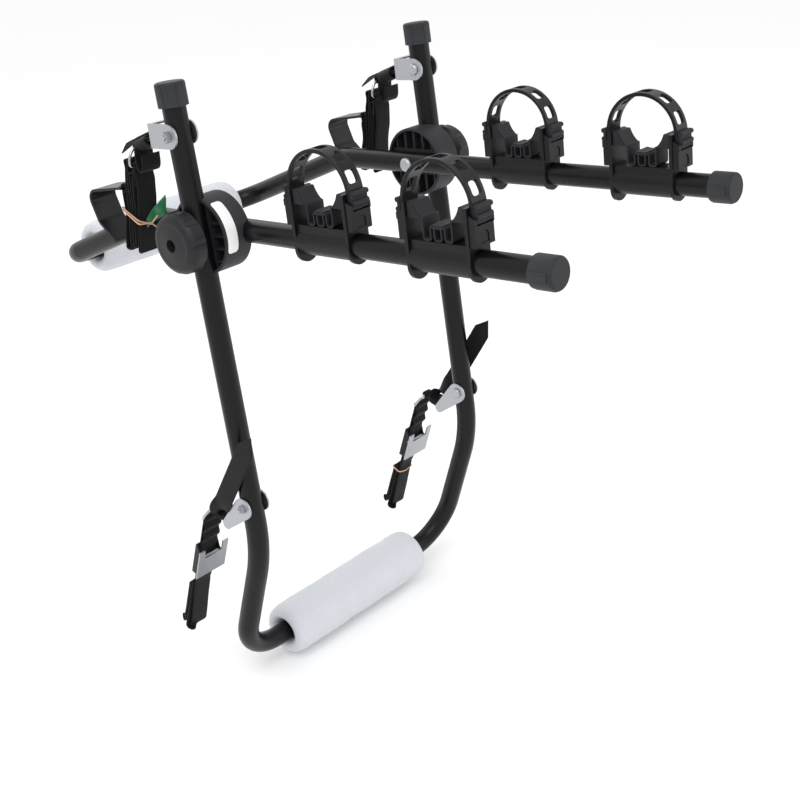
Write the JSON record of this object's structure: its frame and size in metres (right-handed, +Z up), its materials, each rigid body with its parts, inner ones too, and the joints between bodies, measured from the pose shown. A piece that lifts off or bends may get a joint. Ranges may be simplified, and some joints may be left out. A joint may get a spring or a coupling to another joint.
{
  "type": "trunk mounted bike rack",
  "caption": "Folding trunk bike rack with a bent upright frame, a clamped arm frame, foam pads, tube cradles with ladder straps, and webbing straps with hooks and cam buckles.",
  "frame": {"origin": "middle of the lower padded bar, where the rack rests on the car", "axes": "+X across the car towards its right side, +Y towards the car, +Z up"},
  "size_m": [0.462, 0.7776, 0.7477],
  "materials": {
    "frame_paint": "satin",
    "foam": "matte",
    "cap_rubber": "matte",
    "hub_plastic": "matte",
    "knob_plastic": "satin",
    "cradle_plastic": "satin",
    "cushion_rubber": "matte",
    "ladder_rubber": "satin",
    "zinc": "satin",
    "ring_steel": "polished",
    "webbing": "matte",
    "hook_coat": "gloss",
    "buckle_black": "satin"
  },
  "bodies": {
    "leg_frame": {"leg_frame": "frame_paint", "leg_cap_left": "cap_rubber", "leg_cap_right": "cap_rubber", "lower_pad": "foam", "hub_outer_left": "hub_plastic", "hub_outer_right": "hub_plastic", "bracket_bolts": "zinc"},
    "arm_frame": {"arm_frame": "frame_paint", "arm_cap_left": "cap_rubber", "arm_cap_right": "cap_rubber", "upper_pad": "foam", "hub_inner_left": "hub_plastic", "hub_inner_right": "hub_plastic", "hub_bolts": "zinc", "cradle_base_left_inner": "cradle_plastic", "cradle_cushion_left_inner": "cushion_rubber", "cradle_base_left_outer": "cradle_plastic", "cradle_cushion_left_outer": "cushion_rubber", "cradle_base_right_inner": "cradle_plastic", "cradle_cushion_right_inner": "cushion_rubber", "cradle_base_right_outer": "cradle_plastic", "cradle_cushion_right_outer": "cushion_rubber"},
    "knob_left": {"knob_left": "knob_plastic", "knob_nut_left": "zinc"},
    "knob_right": {"knob_right": "knob_plastic", "knob_nut_right": "zinc"},
    "ladder_left_inner": {"ladder_strap_left_inner": "ladder_rubber"},
    "latch_front_left_inner": {"latch_front_left_inner": "cradle_plastic"},
    "latch_rear_left_inner": {"latch_rear_left_inner": "cradle_plastic"},
    "ladder_left_outer": {"ladder_strap_left_outer": "ladder_rubber"},
    "latch_front_left_outer": {"latch_front_left_outer": "cradle_plastic"},
    "latch_rear_left_outer": {"latch_rear_left_outer": "cradle_plastic"},
    "ladder_right_inner": {"ladder_strap_right_inner": "ladder_rubber"},
    "latch_front_right_inner": {"latch_front_right_inner": "cradle_plastic"},
    "latch_rear_right_inner": {"latch_rear_right_inner": "cradle_plastic"},
    "ladder_right_outer": {"ladder_strap_right_outer": "ladder_rubber"},
    "latch_front_right_outer": {"latch_front_right_outer": "cradle_plastic"},
    "latch_rear_right_outer": {"latch_rear_right_outer": "cradle_plastic"},
    "bracket_upper_left": {"strap_bracket_upper_left": "zinc"},
    "tie_upper_left": {"strap_tie_upper_left": "webbing"},
    "strap_upper_left": {"strap_ring_upper_left": "ring_steel", "strap_fold_upper_left": "webbing"},
    "bracket_upper_right": {"strap_bracket_upper_right": "zinc"},
    "tie_upper_right": {"strap_tie_upper_right": "webbing"},
    "strap_upper_right": {"strap_ring_upper_right": "ring_steel", "strap_fold_upper_right": "webbing"},
    "bracket_lower_left": {"strap_bracket_lower_left": "zinc"},
    "tie_lower_left": {"strap_tie_lower_left": "webbing"},
    "strap_lower_left": {"strap_ring_lower_left": "ring_steel", "strap_fold_lower_left": "webbing", "buckle_frame_left": "buckle_black"},
    "bracket_lower_right": {"strap_bracket_lower_right": "zinc"},
    "tie_lower_right": {"strap_tie_lower_right": "webbing"},
    "strap_lower_right": {"strap_ring_lower_right": "ring_steel", "strap_fold_lower_right": "webbing", "buckle_frame_right": "buckle_black"},
    "hook_left": {"strap_hook_left": "hook_coat"},
    "buckle_lever_left": {"buckle_lever_left": "zinc"},
    "hook_right": {"strap_hook_right": "hook_coat"},
    "buckle_lever_right": {"buckle_lever_right": "zinc"}
  },
  "joints": [
    {"name": "arm_fold", "type": "hinge", "parent": "leg_frame", "child": "arm_frame", "pos_m": [0, 0.0235, 0.55102], "axis": [1, 0, 0], "range_deg": [-60, 87.7]},
    {"name": "knob_turn_left", "type": "hinge", "parent": "arm_frame", "child": "knob_left", "pos_m": [-0.205, 0.0235, 0.55102], "axis": [-1, 0, 0], "continuous": true},
    {"name": "knob_turn_right", "type": "hinge", "parent": "arm_frame", "child": "knob_right", "pos_m": [0.205, 0.0235, 0.55102], "axis": [1, 0, 0], "continuous": true},
    {"name": "ladder_lift_left_inner", "type": "slide", "parent": "arm_frame", "child": "ladder_left_inner", "axis": [0, 0.1444, 0.9895], "range_m": [0, 0.03]},
    {"name": "latch_press_front_left_inner", "type": "hinge", "parent": "arm_frame", "child": "latch_front_left_inner", "pos_m": [-0.154, -0.08486, 0.60765], "axis": [-1, 0, 0], "range_deg": [0, 25], "stiffness_Nm_per_rad": 0.02, "springref_deg": -11.46},
    {"name": "latch_press_rear_left_inner", "type": "hinge", "parent": "arm_frame", "child": "latch_rear_left_inner", "pos_m": [-0.154, -0.1751, 0.62082], "axis": [1, 0, 0], "range_deg": [0, 25], "stiffness_Nm_per_rad": 0.02, "springref_deg": -11.46},
    {"name": "ladder_lift_left_outer", "type": "slide", "parent": "arm_frame", "child": "ladder_left_outer", "axis": [0, 0.1444, 0.9895], "range_m": [0, 0.03]},
    {"name": "latch_press_front_left_outer", "type": "hinge", "parent": "arm_frame", "child": "latch_front_left_outer", "pos_m": [-0.154, -0.23626, 0.62974], "axis": [-1, 0, 0], "range_deg": [0, 25], "stiffness_Nm_per_rad": 0.02, "springref_deg": -11.46},
    {"name": "latch_press_rear_left_outer", "type": "hinge", "parent": "arm_frame", "child": "latch_rear_left_outer", "pos_m": [-0.154, -0.3265, 0.6429], "axis": [1, 0, 0], "range_deg": [0, 25], "stiffness_Nm_per_rad": 0.02, "springref_deg": -11.46},
    {"name": "ladder_lift_right_inner", "type": "slide", "parent": "arm_frame", "child": "ladder_right_inner", "axis": [0, 0.1444, 0.9895], "range_m": [0, 0.03]},
    {"name": "latch_press_front_right_inner", "type": "hinge", "parent": "arm_frame", "child": "latch_front_right_inner", "pos_m": [0.154, -0.09673, 0.60938], "axis": [-1, 0, 0], "range_deg": [0, 25], "stiffness_Nm_per_rad": 0.02, "springref_deg": -11.46},
    {"name": "latch_press_rear_right_inner", "type": "hinge", "parent": "arm_frame", "child": "latch_rear_right_inner", "pos_m": [0.154, -0.18698, 0.62255], "axis": [1, 0, 0], "range_deg": [0, 25], "stiffness_Nm_per_rad": 0.02, "springref_deg": -11.46},
    {"name": "ladder_lift_right_outer", "type": "slide", "parent": "arm_frame", "child": "ladder_right_outer", "axis": [0, 0.1444, 0.9895], "range_m": [0, 0.03]},
    {"name": "latch_press_front_right_outer", "type": "hinge", "parent": "arm_frame", "child": "latch_front_right_outer", "pos_m": [0.154, -0.25901, 0.63306], "axis": [-1, 0, 0], "range_deg": [0, 25], "stiffness_Nm_per_rad": 0.02, "springref_deg": -11.46},
    {"name": "latch_press_rear_right_outer", "type": "hinge", "parent": "arm_frame", "child": "latch_rear_right_outer", "pos_m": [0.154, -0.34926, 0.64622], "axis": [1, 0, 0], "range_deg": [0, 25], "stiffness_Nm_per_rad": 0.02, "springref_deg": -11.46},
    {"name": "bracket_swing_upper_left", "type": "hinge", "parent": "leg_frame", "child": "bracket_upper_left", "pos_m": [-0.192, 0.04355, 0.65816], "axis": [1, 0, 0], "range_deg": [-5, 20]},
    {"name": "tie_swing_upper_left", "type": "hinge", "parent": "bracket_upper_left", "child": "tie_upper_left", "pos_m": [-0.192, 0.06824, 0.65424], "axis": [1, 0, 0], "range_deg": [-5, 20]},
    {"name": "strap_swing_upper_left", "type": "hinge", "parent": "tie_upper_left", "child": "strap_upper_left", "pos_m": [-0.192, 0.11318, 0.63233], "axis": [1, 0, 0], "range_deg": [-5, 15]},
    {"name": "bracket_swing_upper_right", "type": "hinge", "parent": "leg_frame", "child": "bracket_upper_right", "pos_m": [0.192, 0.04355, 0.65816], "axis": [1, 0, 0], "range_deg": [-5, 20]},
    {"name": "tie_swing_upper_right", "type": "hinge", "parent": "bracket_upper_right", "child": "tie_upper_right", "pos_m": [0.192, 0.06824, 0.65424], "axis": [1, 0, 0], "range_deg": [-5, 20]},
    {"name": "strap_swing_upper_right", "type": "hinge", "parent": "tie_upper_right", "child": "strap_upper_right", "pos_m": [0.192, 0.11318, 0.63233], "axis": [1, 0, 0], "range_deg": [-5, 15]},
    {"name": "bracket_swing_lower_left", "type": "hinge", "parent": "leg_frame", "child": "bracket_lower_left", "pos_m": [-0.192, -0.03463, 0.24041], "axis": [1, 0, 0], "range_deg": [-3, 35]},
    {"name": "tie_swing_lower_left", "type": "hinge", "parent": "bracket_lower_left", "child": "tie_lower_left", "pos_m": [-0.192, -0.00519, 0.20771], "axis": [1, 0, 0], "range_deg": [-10, 8]},
    {"name": "strap_swing_lower_left", "type": "hinge", "parent": "tie_lower_left", "child": "strap_lower_left", "pos_m": [-0.192, 0.02848, 0.21244], "axis": [1, 0, 0], "range_deg": [-5, 20]},
    {"name": "bracket_swing_lower_right", "type": "hinge", "parent": "leg_frame", "child": "bracket_lower_right", "pos_m": [0.192, -0.03463, 0.24041], "axis": [1, 0, 0], "range_deg": [-3, 35]},
    {"name": "tie_swing_lower_right", "type": "hinge", "parent": "bracket_lower_right", "child": "tie_lower_right", "pos_m": [0.192, -0.00519, 0.20771], "axis": [1, 0, 0], "range_deg": [-10, 8]},
    {"name": "strap_swing_lower_right", "type": "hinge", "parent": "tie_lower_right", "child": "strap_lower_right", "pos_m": [0.192, 0.02848, 0.21244], "axis": [1, 0, 0], "range_deg": [-5, 20]},
    {"name": "hook_swing_left", "type": "hinge", "parent": "strap_upper_left", "child": "hook_left", "pos_m": [-0.192, 0.13203, 0.5843], "axis": [1, 0, 0], "range_deg": [-10, 15]},
    {"name": "buckle_press_left", "type": "hinge", "parent": "strap_lower_left", "child": "buckle_lever_left", "pos_m": [-0.192, 0.04927, 0.13372], "axis": [-1, 0, 0], "range_deg": [0, 35], "stiffness_Nm_per_rad": 0.05, "springref_deg": -17.19},
    {"name": "hook_swing_right", "type": "hinge", "parent": "strap_upper_right", "child": "hook_right", "pos_m": [0.192, 0.13203, 0.5843], "axis": [1, 0, 0], "range_deg": [-10, 15]},
    {"name": "buckle_press_right", "type": "hinge", "parent": "strap_lower_right", "child": "buckle_lever_right", "pos_m": [0.192, 0.04927, 0.13372], "axis": [-1, 0, 0], "range_deg": [0, 35], "stiffness_Nm_per_rad": 0.05, "springref_deg": -17.19}
  ]
}
